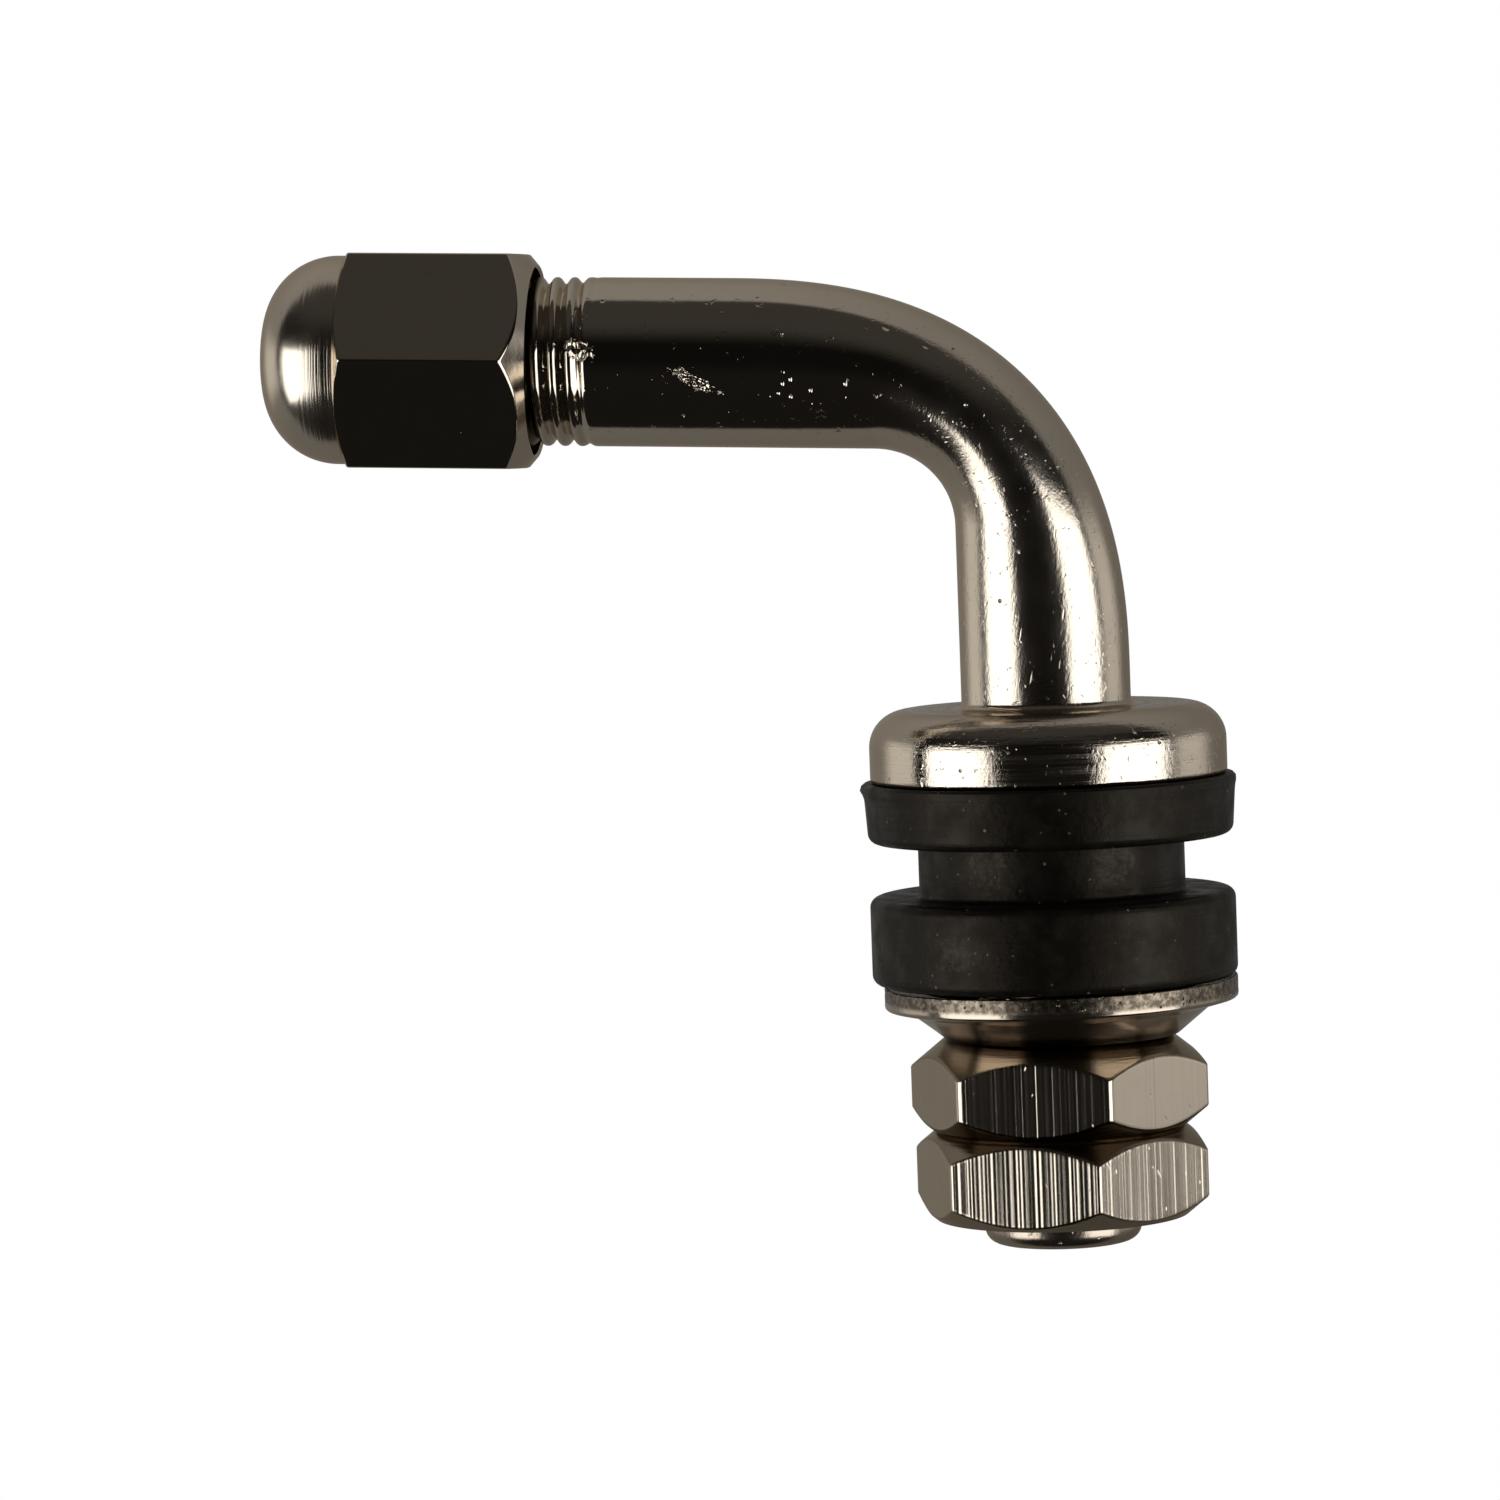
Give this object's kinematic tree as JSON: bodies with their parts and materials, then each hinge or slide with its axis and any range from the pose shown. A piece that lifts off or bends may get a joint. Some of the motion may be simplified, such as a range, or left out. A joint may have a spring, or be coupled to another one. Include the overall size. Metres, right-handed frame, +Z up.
{
  "type": "tyre valve",
  "caption": "Bent metal clamp-in tyre valve with a hexagonal dome cap, flange, grooved rubber grommet, dished washer, clamp nut and lock nut.",
  "frame": {"origin": "on the axis of the base, half way up the grommet's groove, where the rim sits", "axes": "+Z up along the base from the nuts to the bend, arm and cap towards -X"},
  "size_m": [0.044, 0.017, 0.0464],
  "materials": {
    "nickel": "bright nickel plating",
    "nut_metal": "nickel plating over milled flats",
    "washer_steel": "nickel plated, sheared edge",
    "grommet_rubber": "matte moulded rubber",
    "seal_rubber": "matte rubber",
    "gasket_rubber": "satin rubber",
    "core_brass": "turned brass",
    "spring_steel": "drawn wire"
  },
  "bodies": {
    "stem": {"stem": "nickel", "grommet": "grommet_rubber", "core_plug": "core_brass", "core_barrel": "core_brass", "barrel_gasket": "gasket_rubber", "core_spring": "spring_steel"},
    "cap_seal": {"cap_seal": "seal_rubber"},
    "cap": {"cap": "nickel"},
    "core_pin": {"core_pin": "core_brass", "pin_cup": "core_brass", "cup_seal": "seal_rubber"},
    "cup_washer": {"cup_washer": "washer_steel"},
    "clamp_nut": {"clamp_nut": "nut_metal"},
    "lock_nut": {"lock_nut": "nut_metal"}
  },
  "joints": [
    {"name": "cap_travel", "type": "slide", "parent": "stem", "child": "cap_seal", "axis": [-0.999, 0, 0.0436], "range_m": [0, 0.0095]},
    {"name": "cap_turn", "type": "hinge", "parent": "cap_seal", "child": "cap", "pos_m": [0, 0, 0.02285], "axis": [-0.999, 0, 0.0436], "range_deg": [0, 4320]},
    {"name": "pin_press", "type": "slide", "parent": "stem", "child": "core_pin", "axis": [0.999, 0, -0.0436], "range_m": [0, 0.0012], "stiffness_N_per_m": 800, "deforming": ["core_spring"]},
    {"name": "washer_travel", "type": "slide", "parent": "stem", "child": "cup_washer", "axis": [0, 0, -1], "range_m": [0, 0.0035]},
    {"name": "clamp_nut_turn", "type": "hinge", "parent": "cup_washer", "child": "clamp_nut", "pos_m": [0, 0, 0], "axis": [0, 0, -1], "range_deg": [0, 1260]},
    {"name": "lock_nut_slide", "type": "slide", "parent": "clamp_nut", "child": "lock_nut", "axis": [0, 0, -1], "range_m": [0, 0.0037]}
  ],
  "couplings": [
    {"joint": "cap_turn", "follows": "cap_travel", "rad_per_m": 7915.8},
    {"joint": "clamp_nut_turn", "follows": "washer_travel", "rad_per_m": 6283.2}
  ]
}
